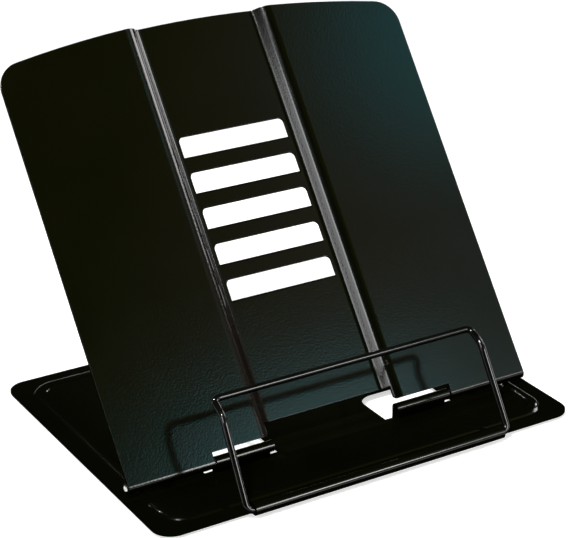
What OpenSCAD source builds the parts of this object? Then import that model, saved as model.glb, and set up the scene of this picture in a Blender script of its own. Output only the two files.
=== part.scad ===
// Folding reading stand. A sheet base carries a hinged, leaning back plate, a wire page bail
// held in a curl along the front edge, and a wire prop that bears under lips on the plate's back.

/* [Sheet and wire] */
// Thickness of the base and back plate sheet
sheet_t = 1; // [0.8:0.1:1.4]
// Radius of the bail and prop wire
wire_r = 1.5; // [1.2:0.1:1.8]
// Radius of the hinge pins
pin_r = 1.5; // [1.2:0.1:1.8]
// Radial running clearance of the turning joints
run_gap = 0.05; // [0.02:0.01:0.1]

/* [Base] */
// Width of the base sheet
base_w = 205; // [195:1:230]
// Depth of the base sheet
base_d = 157; // [150:1:180]
// Corner radius of the base sheet
base_corner_r = 9; // [5:0.5:14]
// Distance of the raised bead's centre line from the sheet edges
bead_inset = 10; // [9:0.5:12]
// Width of the raised bead
bead_w = 6; // [5:0.5:7]
// Height of the raised bead
bead_h = 1.3; // [0.8:0.1:1.6]
// Corner radius of the bead's centre line
bead_corner_r = 10; // [8:0.5:16]

/* [Hinge] */
// Distance of the hinge axis from the base's front edge
hinge_setback = 35.7; // [32:0.1:42]
// Air between the hinge rolls and the bead
hinge_lift = 0.9; // [0.6:0.05:1.5]
// Distance of each base knuckle from the centre
knuckle_cx = 45.2; // [43:0.1:48]
// Width of each base knuckle
knuckle_w = 27.6; // [22:0.1:29]
// Side gap between knuckle and plate roll
roll_gap = 1; // [0.5:0.1:2]
// Extra width of the opening beside the knuckle
lance_side = 4.2; // [3:0.1:5]
// Depth of the opening that the knuckle tab leaves
lance_d = 24.7; // [20:0.1:27]
// Rear corner radius of these openings
lance_r = 8; // [3:0.5:10]
// How far the hinge pins stand out at the sides
pin_out = 0.7; // [0.2:0.1:1.5]
// How far the hinge pins end short of the knuckles' inner ends
pin_short = 4; // [0.5:0.5:8]
// Radial clearance of the hinge pins in the knuckles
pin_fit = 0.02; // [0.01:0.01:0.05]

/* [Back plate] */
// Lean of the back plate above the table
lean = 53.1; // [50:0.1:57]
// Width of the back plate
plate_w = 200; // [190:1:210]
// Height of the back plate from hinge axis to crown
plate_h = 193.3; // [180:0.1:215]
// Radius of the crowned top edge
crown_r = 516; // [400:1:900]
// Radius of the top corners
plate_corner_r = 12; // [6:0.5:18]
// Distance of the flat panels' inner edges from the centre
panel_x = 36.7; // [36:0.1:38]
// Depth of the middle channel
channel_depth = 5; // [4:0.1:6]
// Slope of the channel's side walls
channel_slope = 50; // [45:1:55]
// Inside radius of the bends at the panels
panel_bend_r = 6.5; // [5.5:0.1:7]
// Inside radius of the bends at the channel's floor
floor_bend_r = 3.1; // [2.5:0.1:3.5]
// Height of the cut-out above the knuckles
notch_s = 4.1; // [3.6:0.1:6]
// Corner radius of the panels beside the cut-out
notch_r = 1.8; // [1:0.1:2.5]
// Half width of the cut-out below the channel
cut_x = 32.2; // [31:0.1:34]
// Height of the channel's lower edge above the hinge axis
channel_s = 10.4; // [9:0.1:16]

/* [Slots] */
// Number of slots
slot_n = 5; // [4:1:6]
// Width of the slots
slot_w = 53; // [40:0.5:54]
// Height of the slots
slot_h = 9.2; // [8:0.1:10.5]
// Distance from one slot to the next
slot_pitch = 16.6; // [15:0.1:18]
// Height of the lowest slot's lower edge above the hinge axis
slot_s = 65.1; // [60:0.1:75]
// Radius of the slots' upper corners
slot_r = 2.5; // [1:0.1:4]
// How far each lower lip stands back from the sheet
lip_out = 1.6; // [1:0.1:2.2]

/* [Page bail] */
// Width of the bail from arm to arm at the curl
bail_w = 129.7; // [110:0.1:150]
// Width of the bail's top bar from arm to arm
bail_top_w = 127.4; // [108:0.1:150]
// Length of the bail's arms up to the bend
bail_arm = 39.6; // [30:0.1:42]
// Length of the bail's bent tips
bail_tip = 9.1; // [7:0.1:11]
// Lean of the bail's arms above the table
bail_lean = 59.3; // [55:0.1:70]
// Bend of the bail's tips towards the plate
bail_bend = 34.4; // [20:0.1:40]
// Radius of the bail's corners
bail_corner_r = 2.8; // [2.5:0.1:3.5]
// Radius of the bend between arm and tip
bail_bend_r = 10; // [6:0.5:14]
// Distance of the curl's axis in front of the base's front edge
curl_ahead = 1.8; // [1.5:0.1:2.4]
// Gap between the curl's end and the start of the bail's corner
curl_gap = 0.3; // [0.1:0.05:1]
// Opening left between the curl's rolled end and the sheet
curl_seam = 1.6; // [1:0.1:2]

/* [Prop] */
// Which slot's lip holds the prop, counted from below
prop_n = 3; // [3:1:3]
// Width of the prop from arm to arm
prop_w = 96; // [92:0.5:100]
// Radius of the prop's upper corners
prop_corner_r = 6; // [4:0.5:9]
// Radius of the bends into the prop's feet
prop_foot_r = 2.8; // [2.5:0.1:3.5]
// Gap between the prop's bar and the lips
prop_gap = 0.2; // [0.15:0.05:0.3]
// Width of the prop's knuckles
prop_knuckle_w = 10; // [8:0.5:12]
// Depth of the openings behind the prop's knuckles
prop_lance_d = 14; // [12:0.5:16]
// Rear corner radius of these openings
prop_lance_r = 3; // [1:0.5:4]
// How far the prop's feet stand out of their knuckles
foot_out = 1; // [0.5:0.1:2]

/* [Pads] */
// Radius of the pads under the base
pad_r = 5; // [4:0.5:7]
// Thickness of the pads
pad_h = 1.5; // [1:0.1:2]
// Distance of the pads' centres from the base edges
pad_inset = 21; // [20:0.5:24]

/* [Hidden] */
// Overshoot of cutting tools
over = 0.5;
// Facets of round bores and wires
$fn = 40;
// Facets of the crowned edge
crown_fn = 360;
// Steps along each sheet bend
bend_n = 10;
// Half a turn
half_turn = 180;
// Pin chamfer
pin_chamfer = 0.35;
// Pad chamfer
pad_chamfer = 0.3;
// Thinning of the wire in its bends, and how far straight lengths reach into them
bend_thin = 0.02;
bend_lap = 0.05;
// Outer radius of the knuckles and rolls on the hinge pin
pin_roll_r = pin_r + run_gap + sheet_t;
// Outer radius of the knuckles and curl on the wires
wire_roll_r = wire_r + run_gap + sheet_t;
// Front of the curl ahead of the base sheet
curl_out = curl_ahead + wire_roll_r;
// Front and rear edges of the base sheet
base_y0 = (curl_out - base_d) / 2;
base_y1 = base_y0 + base_d;
base_yc = (base_y0 + base_y1) / 2;
// Underside and top of the base sheet
base_z0 = pad_h;
base_z1 = pad_h + sheet_t;
// Hinge axis
axis_y = base_y0 + hinge_setback;
axis_z = base_z1 + bead_h + hinge_lift + max(pin_roll_r, wire_roll_r);
// Bead section and path
bead_r = (bead_w * bead_w / 4 + bead_h * bead_h) / (2 * bead_h);
bead_z = base_z1 + bead_h - bead_r;
bead_x = base_w / 2 - bead_inset;
bead_y = base_d / 2 - bead_inset;
// Inner end of the plate's rolls and length of each roll
roll_x = knuckle_cx + knuckle_w / 2 + roll_gap;
roll_w = plate_w / 2 - roll_x;
// Inner and outer ends of the hinge pins
pin_x0 = knuckle_cx - knuckle_w / 2 + pin_short;
pin_x1 = plate_w / 2 + pin_out;
// Faces of the back plate in its own frame, front to back
face_y = -pin_roll_r;
floor_y = face_y + channel_depth;
rear_y = floor_y + sheet_t;
// Channel section: sum of the bend radii, length of the straight wall and edge of the floor
bends_r = panel_bend_r + sheet_t + floor_bend_r;
wall_l = (channel_depth - bends_r * (1 - cos(channel_slope))) / sin(channel_slope);
floor_x = panel_x - bends_r * sin(channel_slope) - wall_l * cos(channel_slope);
// Crown and corner centres
crown_s = plate_h - crown_r;
corner_x = plate_w / 2 - plate_corner_r;
corner_s = crown_s + sqrt(pow(crown_r - plate_corner_r, 2) - corner_x * corner_x);
corner_a = atan2(corner_s - crown_s, corner_x);
// Curl axis and length
curl_y = base_y0 - curl_ahead;
curl_z = base_z0 + wire_roll_r;
curl_w = bail_w - 2 * bail_corner_r - 2 * curl_gap;
// Prop bar in the plate's frame
bar_s = slot_s + (prop_n - 1) * slot_pitch - sheet_t - prop_gap - wire_r;
bar_y = rear_y + lip_out + prop_gap + wire_r;
bar_rho = norm([bar_s, bar_y]);
bar_a = lean - atan2(bar_y, bar_s);
// Prop length, equal to the distance of its axis behind the hinge
prop_l = bar_rho / (2 * cos(bar_a));
prop_y = axis_y + prop_l;
prop_a = 2 * bar_a;
// Prop feet
prop_knuckle_cx = prop_w / 2 + prop_foot_r + curl_gap + prop_knuckle_w / 2;
foot_x = prop_knuckle_cx + prop_knuckle_w / 2 + foot_out;
// Pad centres
pad_x = base_w / 2 - pad_inset;
pad_y = base_d / 2 - pad_inset;
// Finishes
enamel = "#1c1d1e";
steel = "#c9ccd0";
rubber = "#2b2b2b";

// Names of the separate pieces, and the one that is drawn

// Cylinder along X, centred
module bar_x(l, r) {
    rotate([0, 90, 0]) cylinder(h = l, r = r, center = true);
}

// Flat sheet with rounded corners, centred in plan
module rounded_sheet(w, d, h, r) {
    translate([-w / 2 + r, -d / 2, 0]) cube([w - 2 * r, d, h]);
    translate([-w / 2, -d / 2 + r, 0]) cube([w, d - 2 * r, h]);
    for (sx = [-1, 1], sy = [-1, 1]) {
        translate([sx * (w / 2 - r), sy * (d / 2 - r), 0]) cylinder(h = h, r = r);
    }
}

// Round bar that follows the bead's rounded rectangle
module bead_ring(r) {
    lx = bead_x - bead_corner_r;
    ly = bead_y - bead_corner_r;
    for (sx = [-1, 1]) {
        translate([sx * bead_x, 0, 0]) rotate([90, 0, 0]) cylinder(h = 2 * ly, r = r, center = true);
    }
    for (sy = [-1, 1]) {
        translate([0, sy * bead_y, 0]) bar_x(2 * lx, r);
    }
    for (q = [0 : 3]) {
        sx = (q == 0 || q == 3) ? 1 : -1;
        sy = (q < 2) ? 1 : -1;
        translate([sx * lx, sy * ly, 0]) rotate([0, 0, 90 * q])
            rotate_extrude(angle = 90) translate([bead_corner_r, 0]) circle(r = r);
    }
}

// Tab lanced from the base, stood up behind the axis and rolled forwards over it
module lanced_knuckle(w, bore_r) {
    roll_r = bore_r + sheet_t;
    difference() {
        bar_x(w, roll_r);
        bar_x(w + 2 * over, bore_r);
        translate([-w / 2 - over, 0, -roll_r - over]) cube([w + 2 * over, roll_r + over, roll_r + over]);
    }
    translate([-w / 2, bore_r, base_z0 - axis_z]) cube([w, sheet_t, axis_z - base_z0]);
}

// Opening that a lanced tab leaves behind the axis, square in front and rounded at the rear
module lanced_opening(w, d, y0, r) {
    translate([-w / 2, y0, base_z0 - over]) cube([w, d - r, sheet_t + 2 * over]);
    translate([-w / 2 + r, y0, base_z0 - over]) cube([w - 2 * r, d, sheet_t + 2 * over]);
    for (sx = [-1, 1]) {
        translate([sx * (w / 2 - r), y0 + d - r, base_z0 - over]) cylinder(h = sheet_t + 2 * over, r = r);
    }
}

// Curl along the front edge that holds the bail
module front_curl() {
    difference() {
        union() {
            translate([0, curl_y, curl_z]) bar_x(curl_w, wire_roll_r);
            translate([-curl_w / 2, curl_y, base_z0]) cube([curl_w, curl_ahead + sheet_t, sheet_t]);
        }
        translate([0, curl_y, curl_z]) bar_x(curl_w + 2 * over, wire_r + run_gap);
        translate([-curl_w / 2 - over, curl_y, base_z1])
            cube([curl_w + 2 * over, wire_roll_r + over, curl_seam]);
    }
}

module base_plate() {
    color(enamel) {
        difference() {
            union() {
                translate([0, base_yc, base_z0]) rounded_sheet(base_w, base_d, sheet_t, base_corner_r);
                intersection() {
                    translate([0, base_yc, bead_z]) bead_ring(bead_r);
                    translate([-base_w / 2, base_y0, base_z0 + sheet_t / 2])
                        cube([base_w, base_d, bead_h + sheet_t]);
                }
            }
            translate([0, base_yc, bead_z]) bead_ring(bead_r - sheet_t);
            for (sx = [-1, 1]) {
                translate([sx * knuckle_cx, axis_y, 0])
                    lanced_opening(knuckle_w + 2 * lance_side, lance_d, pin_r + pin_fit, lance_r);
                translate([sx * prop_knuckle_cx, prop_y, 0])
                    lanced_opening(
                        prop_knuckle_w + 2 * roll_gap, prop_lance_d, wire_r + run_gap, prop_lance_r
                    );
            }
        }
        front_curl();
        for (sx = [-1, 1]) {
            translate([sx * knuckle_cx, axis_y, axis_z]) lanced_knuckle(knuckle_w, pin_r + pin_fit);
            translate([sx * prop_knuckle_cx, prop_y, axis_z])
                lanced_knuckle(prop_knuckle_w, wire_r + run_gap);
        }
    }
}

// Points of one sheet bend, about a centre, at a radius, between two directions
function bend_pts(c, r, a0, a1) =
    [for (i = [0 : bend_n]) c + r * [sin(a0 + (a1 - a0) * i / bend_n), cos(a0 + (a1 - a0) * i / bend_n)]];
panel_c = [panel_x, face_y + sheet_t + panel_bend_r];
floor_c = [floor_x, floor_y - floor_bend_r];
front_pts = concat(
    [[plate_w / 2, face_y]],
    bend_pts(panel_c, panel_bend_r + sheet_t, half_turn, half_turn + channel_slope),
    bend_pts(floor_c, floor_bend_r, channel_slope, 0)
);
back_pts = concat(
    [[plate_w / 2, face_y + sheet_t]],
    bend_pts(panel_c, panel_bend_r, half_turn, half_turn + channel_slope),
    bend_pts(floor_c, floor_bend_r + sheet_t, channel_slope, 0)
);
function flip_x(p) = [for (i = [len(p) - 1 : -1 : 0]) [-p[i][0], p[i][1]]];
function back_to_front(p) = [for (i = [len(p) - 1 : -1 : 0]) p[i]];

// Sheet with the pressed channel, standing upright with the hinge axis at the origin
module channel_sheet() {
    linear_extrude(height = plate_h)
        polygon(concat(front_pts, flip_x(front_pts), back_to_front(concat(back_pts, flip_x(back_pts)))));
}

// What is cut off outside each rounded top corner
module corner_waste() {
    far = 2 * plate_corner_r;
    difference() {
        translate([0, face_y - over, 0]) rotate([-90, 0, 0])
            linear_extrude(height = rear_y - face_y + 2 * over) polygon([
                [corner_x, -corner_s],
                [corner_x + far * cos(corner_a), -corner_s - far * sin(corner_a)],
                [corner_x + far, -corner_s - far],
                [corner_x + far, -corner_s]
            ]);
        translate([corner_x, 0, corner_s]) rotate([90, 0, 0])
            cylinder(h = 4 * channel_depth, r = plate_corner_r, center = true);
    }
}

// What is cut off below: the cut-outs for the knuckles and the raised lower edge of the channel
module lower_waste() {
    depth = rear_y - face_y + 2 * over;
    translate([-roll_x, face_y - over, -over]) cube([2 * roll_x, depth, notch_s + over]);
    translate([-cut_x, face_y - over, 0]) cube([2 * cut_x, depth, channel_s]);
}

// What is cut off outside the panel's rounded corner beside the cut-out
module notch_corner_waste() {
    depth = rear_y - face_y + 2 * over;
    difference() {
        translate([cut_x - over, face_y - over, notch_s - over])
            cube([notch_r + over, depth, notch_r + over]);
        translate([cut_x + notch_r, 0, notch_s + notch_r]) rotate([90, 0, 0])
            cylinder(h = 4 * channel_depth, r = notch_r, center = true);
    }
}

// One slot with its rounded upper corners
module slot() {
    translate([-slot_w / 2, floor_y - over, 0]) cube([slot_w, sheet_t + 2 * over, slot_h - slot_r]);
    translate([-slot_w / 2 + slot_r, floor_y - over, 0])
        cube([slot_w - 2 * slot_r, sheet_t + 2 * over, slot_h]);
    for (sx = [-1, 1]) {
        translate([sx * (slot_w / 2 - slot_r), floor_y + sheet_t / 2, slot_h - slot_r]) rotate([90, 0, 0])
            cylinder(h = sheet_t + 2 * over, r = slot_r, center = true);
    }
}

// Lower edge of a slot turned back into a lip
module lip() {
    translate([-slot_w / 2, floor_y + sheet_t, -sheet_t]) cube([slot_w, lip_out, sheet_t]);
}

// Roundness of the turned edge at the front of a lip
module lip_round() {
    difference() {
        translate([-slot_w / 2, floor_y - over, -sheet_t]) cube([slot_w, sheet_t + over, sheet_t + over]);
        translate([0, floor_y + sheet_t, -sheet_t]) bar_x(slot_w + 2 * over, sheet_t);
    }
}

// Lower edge of the plate rolled backwards round the pin
module plate_roll() {
    difference() {
        bar_x(roll_w, pin_roll_r);
        bar_x(roll_w + 2 * over, pin_roll_r - sheet_t);
        translate([-roll_w / 2 - over, -pin_roll_r - over, 0])
            cube([roll_w + 2 * over, pin_roll_r + over, pin_roll_r + over]);
    }
}

module back_plate() {
    color(enamel) translate([0, axis_y, axis_z]) rotate([lean - 90, 0, 0]) {
        difference() {
            channel_sheet();
            difference() {
                translate([-plate_w, face_y - over, corner_s])
                    cube([2 * plate_w, rear_y - face_y + 2 * over, plate_h]);
                translate([0, 0, crown_s]) rotate([90, 0, 0])
                    cylinder(h = 4 * channel_depth, r = crown_r, center = true, $fn = crown_fn);
            }
            corner_waste();
            mirror([1, 0, 0]) corner_waste();
            lower_waste();
            notch_corner_waste();
            mirror([1, 0, 0]) notch_corner_waste();
            for (i = [0 : slot_n - 1]) {
                translate([0, 0, slot_s + i * slot_pitch]) {
                    slot();
                    lip_round();
                }
            }
        }
        for (i = [0 : slot_n - 1]) {
            translate([0, 0, slot_s + i * slot_pitch]) lip();
        }
        for (sx = [-1, 1]) {
            translate([sx * (roll_x + roll_w / 2), 0, 0]) plate_roll();
        }
    }
}

// Pin through one knuckle and one roll, on the side given
module hinge_pin(side) {
    mid = pin_x1 - pin_x0 - 2 * pin_chamfer;
    color(steel) translate([0, axis_y, axis_z]) mirror([side < 0 ? 1 : 0, 0, 0])
        translate([pin_x0, 0, 0]) rotate([0, 90, 0]) {
            cylinder(h = pin_chamfer, r1 = pin_r - pin_chamfer, r2 = pin_r);
            translate([0, 0, pin_chamfer]) cylinder(h = mid, r = pin_r);
            translate([0, 0, pin_chamfer + mid])
                cylinder(h = pin_chamfer, r1 = pin_r, r2 = pin_r - pin_chamfer);
        }
}

module hinge_pin_left() {
    hinge_pin(-1);
}

module hinge_pin_right() {
    hinge_pin(1);
}

function unit(v) = v / norm(v);

// Straight length of wire
module rod(a, b) {
    v = b - a;
    translate(a) rotate([0, acos(v[2] / norm(v)), atan2(v[1], v[0])])
        cylinder(h = norm(v), r = wire_r);
}

// Bend of wire at a corner, from one direction to another, about a radius
module bend(p, u, v, r) {
    a = acos(u * v);
    n = unit(cross(u, v));
    m = cross(n, u);
    c = p - u * r * tan(a / 2) + m * r;
    multmatrix([
        [-m[0], u[0], n[0], c[0]],
        [-m[1], u[1], n[1], c[1]],
        [-m[2], u[2], n[2], c[2]],
        [0, 0, 0, 1]
    ]) rotate_extrude(angle = a) translate([r, 0]) circle(r = wire_r - bend_thin);
}

// Length of straight wire that a bend takes from each side of its corner
function taken(p, r, i) =
    let (n = len(p))
    r[i] * tan(acos(unit(p[i] - p[(i + n - 1) % n]) * unit(p[(i + 1) % n] - p[i])) / 2);

// Where a straight length ends, a little inside its bend
function reach(p, r, i) = r[i] == 0 ? 0 : taken(p, r, i) - bend_lap;

// Wire through corner points, closed into a loop or open
module wire(p, r, closed) {
    n = len(p);
    for (i = [0 : closed ? n - 1 : n - 2]) {
        j = (i + 1) % n;
        u = unit(p[j] - p[i]);
        rod(p[i] + u * reach(p, r, i), p[j] - u * reach(p, r, j));
        if (r[j] > 0) {
            bend(p[j], u, unit(p[(j + 1) % n] - p[j]), r[j]);
        }
    }
}

module page_bail() {
    arm = bail_arm * [0, cos(bail_lean), sin(bail_lean)];
    tip = arm + bail_tip * [0, cos(bail_lean - bail_bend), sin(bail_lean - bail_bend)];
    side = [bail_w / 2, 0, 0];
    top_side = [bail_top_w / 2, 0, 0];
    arm_side = side + (top_side - side) * bail_arm / (bail_arm + bail_tip);
    color(enamel) translate([0, curl_y, curl_z])
        wire(
            [-side, side, arm + arm_side, tip + top_side, tip - top_side, arm - arm_side],
            [bail_corner_r, bail_corner_r, bail_bend_r, bail_corner_r, bail_corner_r, bail_bend_r],
            true
        );
}

module prop_wire() {
    side = [prop_w / 2, 0, 0];
    foot = [foot_x, 0, 0];
    rise = prop_l * [0, cos(prop_a), sin(prop_a)];
    color(enamel) translate([0, prop_y, axis_z])
        wire(
            [-foot, -side, rise - side, rise + side, side, foot],
            [0, prop_foot_r, prop_corner_r, prop_corner_r, prop_foot_r, 0],
            false
        );
}

// Round pad stuck under the base
module pad(sx, sy) {
    color(rubber) translate([sx * pad_x, base_yc + sy * pad_y, 0]) {
        cylinder(h = pad_chamfer, r1 = pad_r - pad_chamfer, r2 = pad_r);
        translate([0, 0, pad_chamfer]) cylinder(h = pad_h - pad_chamfer, r = pad_r);
    }
}

module pad_front_left() {
    pad(-1, -1);
}

module pad_front_right() {
    pad(1, -1);
}

module pad_rear_left() {
    pad(-1, 1);
}

module pad_rear_right() {
    pad(1, 1);
}

base_plate();
back_plate();
hinge_pin_left();
hinge_pin_right();
page_bail();
prop_wire();
pad_front_left();
pad_front_right();
pad_rear_left();
pad_rear_right();
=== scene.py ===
"""Folding reading stand in black enamel: finishes, floor, studio light and the photograph's camera."""
import math
from collections import namedtuple

import bpy
from mathutils import Matrix, Vector

MM = 0.001

# Camera, fitted to the photograph: where it stands, in degrees and metres, and its image, in pixels
CAM_AZIMUTH = -30.986
CAM_ELEVATION = 24.448
CAM_ROLL = -0.518
CAM_DISTANCE = 0.81411
CAM_TARGET = Vector((1.25, -13.525, 52.97)) * MM
SENSOR_MM = 36.0
IMAGE_SIZE = (569, 538)
FOCAL_PX = 1879.19
OPTICAL_CENTRE_PX = (303.91, 307.84)

# Finishes: darkest and lightest colour, linear, and the values of the noise that show them
ENAMEL_COLOURS = ((0.0012, 0.0014, 0.0003), (0.0019, 0.0021, 0.0006))
WIRE_COLOURS = ((0.0020, 0.0020, 0.0016), (0.0036, 0.0036, 0.0030))
STEEL_COLOURS = ((0.50, 0.50, 0.49), (0.72, 0.72, 0.71))
RUBBER_COLOURS = ((0.012, 0.012, 0.012), (0.022, 0.022, 0.021))
COLOUR_STOPS = (0.35, 0.65)

# Finishes: least and greatest roughness
PLATE_ROUGHNESS = (0.09, 0.13)
BASE_ROUGHNESS = (0.10, 0.14)
WIRE_ROUGHNESS = (0.08, 0.14)
STEEL_ROUGHNESS = (0.18, 0.34)
RUBBER_ROUGHNESS = (0.65, 0.85)

# Finishes: depth of the fine relief, and the rounding that the plate's edges show
PLATE_PEEL = 0.024 * MM
BASE_PEEL = 0.01 * MM
WIRE_PEEL = 0.005 * MM
RUBBER_GRAIN = 0.05 * MM
PLATE_EDGE_RADIUS = 0.3 * MM

# Faces without gloss: the normal's X is past a limit, which on the plate is out of reach,
# or its Z and Y are both under theirs, so that the face looks to the floor in front
PLATE_SIDEWAYS = 2.0
BASE_SIDEWAYS = 0.93
WIRE_SIDEWAYS = 0.99
LOW_Z = 0.2
FRONT_Y = 0.5
GLOSS = 0.5
EXTRA_ROUGHNESS = 0.3

# Floor: glow that the camera and mirrors see, near the part and far from it, distances in metres
FLOOR_HALF = 30.0
FLOOR_COLOUR = (0.65, 0.65, 0.65)
FLOOR_ROUGHNESS = 0.9
FLOOR_NEAR = 0.7
FLOOR_FAR = 2.2
FLOOR_NEAR_GLOW = 0.62
FLOOR_FAR_GLOW = 1.0

# Soft glows of the dark studio: each is even near its middle and fades to its rim, angles in degrees
WORLD_COLOUR = (0.006, 0.006, 0.004)
Glow = namedtuple("Glow", "azimuth elevation even rim colour")
STUDIO_GLOWS = (
    Glow(azimuth=38, elevation=42, even=16, rim=32, colour=(0.058, 0.060, 0.0)),
    Glow(azimuth=63.7, elevation=16.3, even=30, rim=39.4, colour=(0.190, 0.136, 0.132)),
    Glow(azimuth=50.5, elevation=42.1, even=2.0, rim=5.4, colour=(0.0, 0.76, 0.92)),
    Glow(azimuth=32.4, elevation=36.2, even=1.5, rim=2.8, colour=(0.40, 1.20, 1.32)),
    Glow(azimuth=36.5, elevation=35.0, even=1.5, rim=2.8, colour=(0.40, 1.20, 1.32)),
    Glow(azimuth=27.5, elevation=35.0, even=2.5, rim=5.0, colour=(0.0, 0.18, 0.22)),
    Glow(azimuth=44, elevation=30, even=5.0, rim=10.0, colour=(0.0, 0.12, 0.15)),
)

# Lamps: the points that they face, in metres, the spots' distance and softness, and the colours
LAMP_TARGET = Vector((0, 0, 0.06))
UNDER_PLATE = Vector((0, -0.027, 0))
BEHIND_PLATE = Vector((0.07, 0.14, 0))
SPOT_DISTANCE = 1.5
SPOT_BLEND = 0.3
SPOT_RADIUS = 0.03
WHITE = (1, 1, 1)
COOL_WHITE = (0.84, 1.0, 1.04)

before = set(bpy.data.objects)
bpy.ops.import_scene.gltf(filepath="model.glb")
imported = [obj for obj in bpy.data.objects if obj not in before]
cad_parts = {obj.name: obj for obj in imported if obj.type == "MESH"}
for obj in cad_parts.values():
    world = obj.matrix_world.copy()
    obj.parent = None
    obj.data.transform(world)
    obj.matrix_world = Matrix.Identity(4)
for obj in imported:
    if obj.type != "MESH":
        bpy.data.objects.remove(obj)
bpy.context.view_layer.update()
scene = bpy.context.scene


def direction(azimuth, elevation):
    """Unit vector towards a viewer or lamp; azimuth 0 is in front, along -Y, and grows towards +X."""
    a = math.radians(azimuth)
    e = math.radians(elevation)
    return Vector((math.sin(a) * math.cos(e), -math.cos(a) * math.cos(e), math.sin(e)))


def look(eye, target, roll):
    """Matrix of a camera or lamp at eye that looks at target."""
    back = (eye - target).normalized()
    right = Vector((0, 0, 1)).cross(back).normalized()
    up = back.cross(right)
    r = math.radians(roll)
    turned_right = right * math.cos(r) + up * math.sin(r)
    turned_up = up * math.cos(r) - right * math.sin(r)
    axes = Matrix((turned_right, turned_up, back)).transposed().to_4x4()
    return Matrix.Translation(eye) @ axes


def place(data, azimuth, elevation, distance, target, roll=0.0):
    """Adds a camera or lamp that looks at target from a direction and a distance."""
    made = bpy.data.objects.new(data.name, data)
    made.matrix_world = look(target + direction(azimuth, elevation) * distance, target, roll)
    scene.collection.objects.link(made)
    return made


def make_camera():
    data = bpy.data.cameras.new("photo_camera")
    width, height = IMAGE_SIZE
    data.sensor_width = SENSOR_MM
    data.lens = FOCAL_PX / width * SENSOR_MM
    data.shift_x = (width / 2 - OPTICAL_CENTRE_PX[0]) / width
    data.shift_y = (OPTICAL_CENTRE_PX[1] - height / 2) / width
    scene.camera = place(data, CAM_AZIMUTH, CAM_ELEVATION, CAM_DISTANCE, CAM_TARGET, CAM_ROLL)


class Nodes:
    """Short helpers for a node tree."""

    def __init__(self, tree):
        self.tree = tree

    def node(self, kind, **inputs):
        made = self.tree.nodes.new(kind)
        for key, value in inputs.items():
            made.inputs[key.replace("_", " ")].default_value = value
        return made

    def link(self, out, into):
        self.tree.links.new(out, into)

    def operate(self, kind, operation, *values):
        """Outputs of a math node whose inputs are linked sockets or plain values."""
        made = self.node(kind)
        made.operation = operation
        for socket, value in zip(made.inputs, values):
            if isinstance(value, bpy.types.NodeSocket):
                self.link(value, socket)
            else:
                socket.default_value = value
        return made.outputs

    def math(self, operation, *values):
        return self.operate("ShaderNodeMath", operation, *values)["Value"]

    def vector_math(self, operation, *values):
        return self.operate("ShaderNodeVectorMath", operation, *values)


class Shader(Nodes):
    """A material with a Principled shader."""

    def __init__(self, name):
        self.material = bpy.data.materials.new(name)
        self.material.use_nodes = True
        super().__init__(self.material.node_tree)
        self.principled = self.tree.nodes["Principled BSDF"]
        self.coords = self.node("ShaderNodeTexCoord").outputs["Object"]

    def set(self, **inputs):
        for key, value in inputs.items():
            self.principled.inputs[key.replace("_", " ")].default_value = value

    def feed(self, out, name):
        """Links a value to an input of the Principled shader."""
        self.link(out, self.principled.inputs[name])

    def noise(self, scale, detail=2.0, stretch=(1, 1, 1)):
        mapping = self.node("ShaderNodeMapping", Scale=stretch)
        self.link(self.coords, mapping.inputs["Vector"])
        texture = self.node("ShaderNodeTexNoise", Scale=scale, Detail=detail)
        self.link(mapping.outputs["Vector"], texture.inputs["Vector"])
        return texture.outputs["Fac"]

    def ramp(self, factor, colours):
        """Colour between a dark and a light one."""
        ramp = self.node("ShaderNodeValToRGB")
        for element, stop, colour in zip(ramp.color_ramp.elements, COLOUR_STOPS, colours):
            element.position = stop
            element.color = (*colour, 1)
        self.link(factor, ramp.inputs["Fac"])
        return ramp.outputs["Color"]

    def span(self, factor, low, high):
        """Value from low to high as the factor goes from 0 to 1."""
        spread = self.node("ShaderNodeMapRange", To_Min=low, To_Max=high)
        self.link(factor, spread.inputs["Value"])
        return spread.outputs["Result"]

    def bump(self, height, depth, edge_radius=0.0):
        """Fine relief, on edges that look rounded where a radius is given."""
        relief = self.node("ShaderNodeBump", Strength=1.0, Distance=depth)
        self.link(height, relief.inputs["Height"])
        if edge_radius > 0:
            rounded = self.node("ShaderNodeBevel", Radius=edge_radius)
            self.link(rounded.outputs["Normal"], relief.inputs["Normal"])
        self.feed(relief.outputs["Normal"], "Normal")


def dull_faces(s, roughness, sideways_from):
    """Roughness with noise, and no gloss on faces that look sideways or down to the floor in front."""
    normal = s.node("ShaderNodeSeparateXYZ")
    s.link(s.node("ShaderNodeNewGeometry").outputs["Normal"], normal.inputs["Vector"])
    sideways = s.math("GREATER_THAN", s.math("ABSOLUTE", normal.outputs["X"]), sideways_from)
    low = s.math("LESS_THAN", normal.outputs["Z"], LOW_Z)
    front = s.math("LESS_THAN", normal.outputs["Y"], FRONT_Y)
    dull = s.math("MAXIMUM", sideways, s.math("MULTIPLY", low, front))
    grain = s.span(s.noise(scale=60, detail=3), *roughness)
    s.feed(s.math("ADD", grain, s.span(dull, 0, EXTRA_ROUGHNESS)), "Roughness")
    s.feed(s.span(dull, GLOSS, 0), "Specular IOR Level")


def enamel(name, roughness, peel, edge_radius, sideways_from):
    """Gloss black enamel with a fine orange peel."""
    s = Shader(name)
    s.feed(s.ramp(s.noise(scale=22), ENAMEL_COLOURS), "Base Color")
    dull_faces(s, roughness, sideways_from)
    s.bump(s.noise(scale=1300, detail=1.5), peel, edge_radius)
    return s.material


def wire_enamel():
    s = Shader("black_wire_enamel")
    s.feed(s.ramp(s.noise(scale=80), WIRE_COLOURS), "Base Color")
    dull_faces(s, WIRE_ROUGHNESS, WIRE_SIDEWAYS)
    s.bump(s.noise(scale=1200, detail=1.5), WIRE_PEEL)
    return s.material


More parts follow.
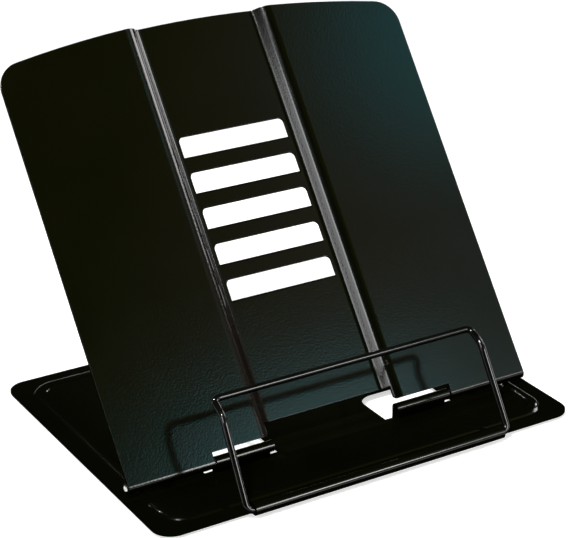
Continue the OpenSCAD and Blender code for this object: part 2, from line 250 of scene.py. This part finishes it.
def pin_steel():
    """Bright steel with drawing marks along the pin."""
    s = Shader("bright_steel")
    s.set(Metallic=1.0)
    marks = s.noise(scale=300, detail=3, stretch=(0.08, 1, 1))
    s.feed(s.ramp(marks, STEEL_COLOURS), "Base Color")
    s.feed(s.span(marks, *STEEL_ROUGHNESS), "Roughness")
    return s.material


def pad_rubber():
    s = Shader("pad_rubber")
    s.feed(s.ramp(s.noise(scale=400), RUBBER_COLOURS), "Base Color")
    s.feed(s.span(s.noise(scale=300, detail=3), *RUBBER_ROUGHNESS), "Roughness")
    s.bump(s.noise(scale=1500), RUBBER_GRAIN)
    return s.material


def dress_nodes():
    """Gives each CAD node its finish, by the start of its name."""
    plate = enamel("plate_enamel", PLATE_ROUGHNESS, PLATE_PEEL, PLATE_EDGE_RADIUS, PLATE_SIDEWAYS)
    base = enamel("base_enamel", BASE_ROUGHNESS, BASE_PEEL, 0.0, BASE_SIDEWAYS)
    wire = wire_enamel()
    finishes = {
        "back_plate": plate,
        "base_plate": base,
        "page_bail": wire,
        "prop_wire": wire,
        "hinge_pin_": pin_steel(),
        "pad_": pad_rubber(),
    }
    for name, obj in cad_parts.items():
        finish = next(finishes[start] for start in finishes if name.startswith(start))
        obj.data.materials.clear()
        obj.data.materials.append(finish)


def pale_floor():
    """Pale floor that keeps the shadow, with a white glow for camera, mirrors and glass."""
    s = Shader("pale_floor")
    s.set(Base_Color=(*FLOOR_COLOUR, 1), Roughness=FLOOR_ROUGHNESS, Specular_IOR_Level=0.0)
    s.set(Emission_Color=(*WHITE, 1))
    path = s.node("ShaderNodeLightPath").outputs
    seen = s.math("ADD", path["Is Camera Ray"], path["Is Glossy Ray"])
    seen = s.math("ADD", seen, path["Is Transmission Ray"])
    glow = s.node("ShaderNodeMapRange", From_Min=FLOOR_NEAR, From_Max=FLOOR_FAR,
                  To_Min=FLOOR_NEAR_GLOW, To_Max=FLOOR_FAR_GLOW)
    s.link(s.vector_math("LENGTH", s.coords)["Value"], glow.inputs["Value"])
    s.feed(s.math("MULTIPLY", seen, glow.outputs["Result"]), "Emission Strength")
    return s.material


def make_floor():
    h = FLOOR_HALF
    mesh = bpy.data.meshes.new("floor")
    mesh.from_pydata([(-h, -h, 0), (h, -h, 0), (h, h, 0), (-h, h, 0)], [], [(0, 1, 2, 3)])
    mesh.materials.append(pale_floor())
    floor = bpy.data.objects.new("floor", mesh)
    scene.collection.objects.link(floor)


def studio_world():
    """Dark world with the glows that the enamel mirrors."""
    world = bpy.data.worlds.new("studio")
    scene.world = world
    world.use_nodes = True
    sky = Nodes(world.node_tree)
    ray = sky.node("ShaderNodeTexCoord").outputs["Generated"]
    light = WORLD_COLOUR
    for glow in STUDIO_GLOWS:
        middle = direction(glow.azimuth, glow.elevation)
        nearness = sky.vector_math("DOT_PRODUCT", ray, middle)["Value"]
        fade = sky.node("ShaderNodeMapRange", From_Min=math.cos(math.radians(glow.rim)),
                        From_Max=math.cos(math.radians(glow.even)))
        fade.interpolation_type = "SMOOTHSTEP"
        sky.link(nearness, fade.inputs["Value"])
        light = sky.vector_math("MULTIPLY_ADD", fade.outputs["Result"], glow.colour, light)["Vector"]
    sky.link(light, sky.tree.nodes["Background"].inputs["Color"])


def softbox(name, azimuth, elevation, distance, size, power, roll=0.0, colour=WHITE):
    """Area lamp, with its place in degrees and metres and its power in watts."""
    data = bpy.data.lights.new(name, "AREA")
    data.shape = "RECTANGLE"
    data.size, data.size_y = size
    data.energy = power
    data.color = colour
    place(data, azimuth, elevation, distance, LAMP_TARGET, roll)


def spot(name, azimuth, elevation, angle, power, target):
    """Narrow lamp that lights a patch of floor."""
    data = bpy.data.lights.new(name, "SPOT")
    data.spot_size = math.radians(angle)
    data.spot_blend = SPOT_BLEND
    data.shadow_soft_size = SPOT_RADIUS
    data.energy = power
    place(data, azimuth, elevation, SPOT_DISTANCE, target)


def hang_lamps():
    # Key lamp for the floor, away from the directions that plate, base and rolls mirror to the camera
    softbox("key", azimuth=-54, elevation=55, distance=2.2, size=(0.25, 0.25), power=40)
    # Light on the floor under and behind the plate, seen through the openings of the base and the slots
    spot("under_plate", azimuth=200, elevation=46, angle=6.5, power=90, target=UNDER_PLATE)
    spot("behind_plate", azimuth=180, elevation=62, angle=13, power=55, target=BEHIND_PLATE)
    # Mirrored in the walls of the channel
    softbox("key_right", azimuth=92, elevation=25, distance=2.2, size=(0.80, 0.60), power=9)
    softbox("left_side", azimuth=-66, elevation=29, distance=1.6, size=(0.95, 0.50), power=5.6, roll=31)
    softbox("left_rim", azimuth=-56, elevation=36, distance=1.6, size=(0.20, 0.50), power=1.3, roll=31,
            colour=COOL_WHITE)
    # Mirrored in the bead's right corner
    softbox("key_corner", azimuth=116, elevation=19, distance=2.0, size=(0.16, 0.25), power=1.3)
    # Mirrored in the rolls and the curl
    softbox("roll_left", azimuth=22, elevation=20, distance=1.5, size=(0.12, 0.53), power=1.8)
    softbox("curl", azimuth=29.3, elevation=24.5, distance=1.5, size=(0.23, 0.28), power=3.0)
    softbox("roll_right", azimuth=38.3, elevation=22, distance=1.5, size=(0.18, 0.30), power=0.7)
    # Mirrored in the arms of the bail
    softbox("arm_left", azimuth=-78, elevation=9, distance=1.6, size=(0.25, 0.08), power=0.3)
    softbox("arm_right", azimuth=52, elevation=22, distance=1.5, size=(0.2, 0.3), power=0.6)


make_camera()
dress_nodes()
make_floor()
studio_world()
hang_lamps()
scene.view_settings.view_transform = "Standard"
